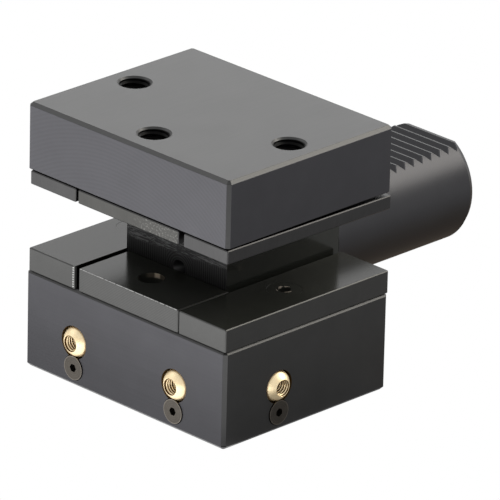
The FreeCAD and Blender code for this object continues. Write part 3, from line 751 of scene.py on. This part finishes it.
def thread_sleeve(name, start, direction, length, wall_radius, crest_radius, pitch):
    """A sleeve whose inner wall is a helical V thread.

    For an angle a round the axis and a distance s along it, the inner radius is the wall's radius
    less the ridge's height times a triangle wave of s / pitch - a / (2 pi), which is cut flat at its
    roots and crests. Both ends run out to the wall, and an outer wall closes the sleeve.
    """
    along = np.asarray(direction, float)
    side = np.cross(along, [0.0, 0.0, 1.0] if abs(along[2]) < NEARLY_UPRIGHT else [1.0, 0.0, 0.0])
    side /= np.linalg.norm(side)
    other = np.cross(along, side)
    rings = int(round(length / pitch * RINGS_PER_TURN)) + 1
    angle = np.linspace(0, 2 * np.pi, POINTS_ROUND, endpoint=False)
    a, s = np.meshgrid(angle, np.linspace(0, length, rings))
    phase = np.mod(s / pitch - a / (2 * np.pi), 1.0)
    wave = 1 - np.abs(2 * phase - 1)
    fade = np.clip(np.minimum(s, length - s) / (RUN_OUT_TURNS * pitch), 0, 1)
    wave = np.clip(FLANK_STEEPNESS * wave - ROOT_CUT, 0, 1) * fade
    inner = wall_radius - (wall_radius - crest_radius) * wave
    outer = np.full((2, POINTS_ROUND), wall_radius + SLEEVE_THICKNESS)
    radius = np.vstack([inner, outer])
    s = np.vstack([s, np.full((1, POINTS_ROUND), length), np.zeros((1, POINTS_ROUND))])
    a = np.vstack([a, a[:2]])
    points = (np.asarray(start, float) + s[..., None] * along
              + radius[..., None] * (np.cos(a)[..., None] * side + np.sin(a)[..., None] * other))
    return facing_out(grid_mesh(name, points * MM))


print("thread sleeve with", POINTS_ROUND, "points round and", RINGS_PER_TURN, "rings a turn")

# %% Threads in the brass nozzles
BALL_RADIUS = 5.5
FRONT_BALL_Y = -68.9
SIDE_BALL_X = 41.9
NOZZLES = {
    "front_left": ((-NOZZLE_X, FRONT_BALL_Y, NOZZLE_Z), (0, -1, 0)),
    "front_right": ((NOZZLE_X, FRONT_BALL_Y, NOZZLE_Z), (0, -1, 0)),
    "side_left": ((-SIDE_BALL_X, NOZZLE_Y, NOZZLE_Z), (-1, 0, 0)),
    "side_right": ((SIDE_BALL_X, NOZZLE_Y, NOZZLE_Z), (1, 0, 0)),
}
NOZZLE_WALL = 2.69
NOZZLE_CREST = 2.35
NOZZLE_PITCH = 1.0
NOZZLE_THREAD_LENGTH = 6.0
MOUTH_RADIUS = 2.8
MOUTH_SET_BACK = 0.12
mouth = math.sqrt(BALL_RADIUS ** 2 - MOUTH_RADIUS ** 2) - MOUTH_SET_BACK
for nozzle, (centre, outward) in NOZZLES.items():
    start = np.array(centre) + mouth * np.array(outward)
    sleeve = thread_sleeve("nozzle_thread_" + nozzle, start, -np.array(outward, float),
                           NOZZLE_THREAD_LENGTH, NOZZLE_WALL, NOZZLE_CREST, NOZZLE_PITCH)
    sleeve.data.materials.append(FINISHES["brass"])
    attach(sleeve, "nozzle_" + nozzle)
    print(sleeve.name, "faces", len(sleeve.data.polygons))

# %% Threads in the clamp holes
CLAMP_WALL = 5.0
CLAMP_CREST = 4.25
CLAMP_PITCH = 1.5
CLAMP_THREAD_TOP = 48.5
CLAMP_THREAD_LENGTH = 5.9
for seat, (x, y) in CLAMP_HOLES.items():
    sleeve = thread_sleeve("clamp_hole_thread_" + seat, (x, y, CLAMP_THREAD_TOP), (0.0, 0.0, -1.0),
                           CLAMP_THREAD_LENGTH, CLAMP_WALL, CLAMP_CREST, CLAMP_PITCH)
    sleeve.data.materials.append(FINISHES["body_steel"])
    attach(sleeve, "holder")
    print(sleeve.name, "faces", len(sleeve.data.polygons))

# %% [markdown]
# ## The studio
#
# A black part shows little but what stands around it. Reading the photograph's brightness spot by
# spot, and asking what each spot mirrors, gives the studio back. The white sweep glows as painted
# light for the part: brightest in front and fading to both sides, with a painted shadow of the part
# beside it and a brownish painted shadow by the shank. A softbox behind on the left gives the flat
# tops their grey. A strong warm one behind on the right draws the band on the shank. A weak one high
# in front on the left lifts the front edges. To the camera the burnt-out sweep is plain white, so the
# floor and the air show white to camera rays alone.


# %% The floor
def seen_by_camera(finish, plain, lit):
    """The first shader for camera rays, and the second for the light that falls on the part."""
    rays = finish.node("ShaderNodeLightPath", out="Is Camera Ray")
    return finish.node("ShaderNodeMixShader", {}, {0: rays, 1: lit, 2: plain})


def floor_glow(f):
    """The sweep's glow as painted light, with painted shadows of the part: beside it, and brownish by
    the shank. A ramp names places on the floor.
    """
    in_front = 0.36 * f.ramp(f.y, -60.0, -74.0) + 0.64 * f.ramp(f.y, -80.0, -168.0)
    from_left = 0.72 + 0.28 * f.ramp(f.x, -220.0, 60.0)
    from_right = f.ramp(f.x, 235.0, 90.0)
    far_behind = f.ramp(f.x + f.y, 40.0, 620.0)
    # Painted shadows of the part on the glowing floor: beside it on the right, and by the shank, where
    # they are brownish.
    shadow_beside_part = f.ramp(f.x, 44.0, 50.0) * f.ramp(f.y, -84.0, -70.0) * f.ramp(f.y, 10.0, -20.0)
    in_front = in_front * (1 - 0.85 * shadow_beside_part)
    glow = 0.44 + 0.50 * far_behind + 3.35 * in_front * from_left * from_right
    glow = glow * (1 - 0.32 * shadow_beside_part * f.ramp(f.x, 95.0, 50.0))
    shadow_by_shank = f.ramp(f.x, 85.0, 22.0) * f.ramp(f.y, -12.0, 30.0) * f.ramp(f.y, 330.0, 160.0)
    glow = glow * (1 - 0.64 * shadow_by_shank)
    return share(f, glow, (1 + 0.22 * shadow_by_shank, 1.0, 1 - 0.20 * shadow_by_shank))


WHITE = (1.0, 1.0, 1.0, 1.0)
FLOOR_HALF = 1600.0
FLOOR_BELOW = 0.05
floor_finish = Finish("studio_floor")
plain = floor_finish.node("ShaderNodeEmission", {}, {"Color": WHITE, "Strength": 1.0})
lit = floor_finish.node("ShaderNodeEmission", {}, {"Color": floor_glow(floor_finish), "Strength": 1.0})
floor_finish.show(seen_by_camera(floor_finish, plain, lit))
floor_z = (BOTTOM - FLOOR_BELOW) * MM
corners = np.array([[-1, -1], [1, -1], [1, 1], [-1, 1]]) * FLOOR_HALF * MM
floor_mesh = bpy.data.meshes.new("studio_floor")
floor_mesh.from_pydata([(cx, cy, floor_z) for cx, cy in corners], [], [(0, 1, 2, 3)])
floor = bpy.data.objects.new("studio_floor", floor_mesh)
bpy.context.scene.collection.objects.link(floor)
floor.data.materials.append(floor_finish.material)
print("floor at, mm:", round(floor_z / MM, 2))

# %% The air
AIR = 0.8
world = bpy.data.worlds.new("studio_air")
world.use_nodes = True
air_nodes = world.node_tree.nodes
air_links = world.node_tree.links
air_nodes.clear()
mixed_air = air_nodes.new("ShaderNodeMixShader")
air_links.new(air_nodes.new("ShaderNodeLightPath").outputs["Is Camera Ray"], mixed_air.inputs[0])
for index, brightness in enumerate((AIR, 1.0)):
    background = air_nodes.new("ShaderNodeBackground")
    background.inputs["Color"].default_value = WHITE
    background.inputs["Strength"].default_value = brightness
    air_links.new(background.outputs[0], mixed_air.inputs[1 + index])
air_links.new(mixed_air.outputs[0], air_nodes.new("ShaderNodeOutputWorld").inputs["Surface"])
bpy.context.scene.world = world
bpy.context.scene.view_settings.view_transform = "Standard"
print("air:", AIR, "for the part, 1 for the camera")

# %% The softboxes
LAMP_DISTANCE = 1.2
LAMP_WHITE = (1.0, 1.0, 1.0)
LAMP_WARM = (1.0, 0.955, 0.86)


def softbox(name, turn_deg, height_deg, width, tall, radiance, colour):
    """A rectangular light that faces the object. Turn 0 stands on +X, and 90 on +Y.

    Its width and height are in metres, and its power is pi times its area times the brightness that
    its face shows.
    """
    turn = math.radians(turn_deg)
    height = math.radians(height_deg)
    spot = Vector((math.cos(turn) * math.cos(height), math.sin(turn) * math.cos(height),
                   math.sin(height)))
    data = bpy.data.lights.new(name, "AREA")
    data.shape = "RECTANGLE"
    data.size = width
    data.size_y = tall
    data.energy = math.pi * width * tall * radiance
    data.color = colour
    lamp = bpy.data.objects.new(name, data)
    lamp.location = spot * LAMP_DISTANCE
    lamp.rotation_euler = (-spot).to_track_quat("-Z", "Y").to_euler()
    bpy.context.scene.collection.objects.link(lamp)


softbox("back_left_for_tops", 135.0, 24.0, 1.3, 0.7, 1.7, LAMP_WHITE)
softbox("back_right_for_shank", 60.0, 36.0, 0.55, 0.72, 7.1, LAMP_WARM)
softbox("front_left_fill", 213.0, 42.0, 0.8, 0.5, 1.0, LAMP_WHITE)
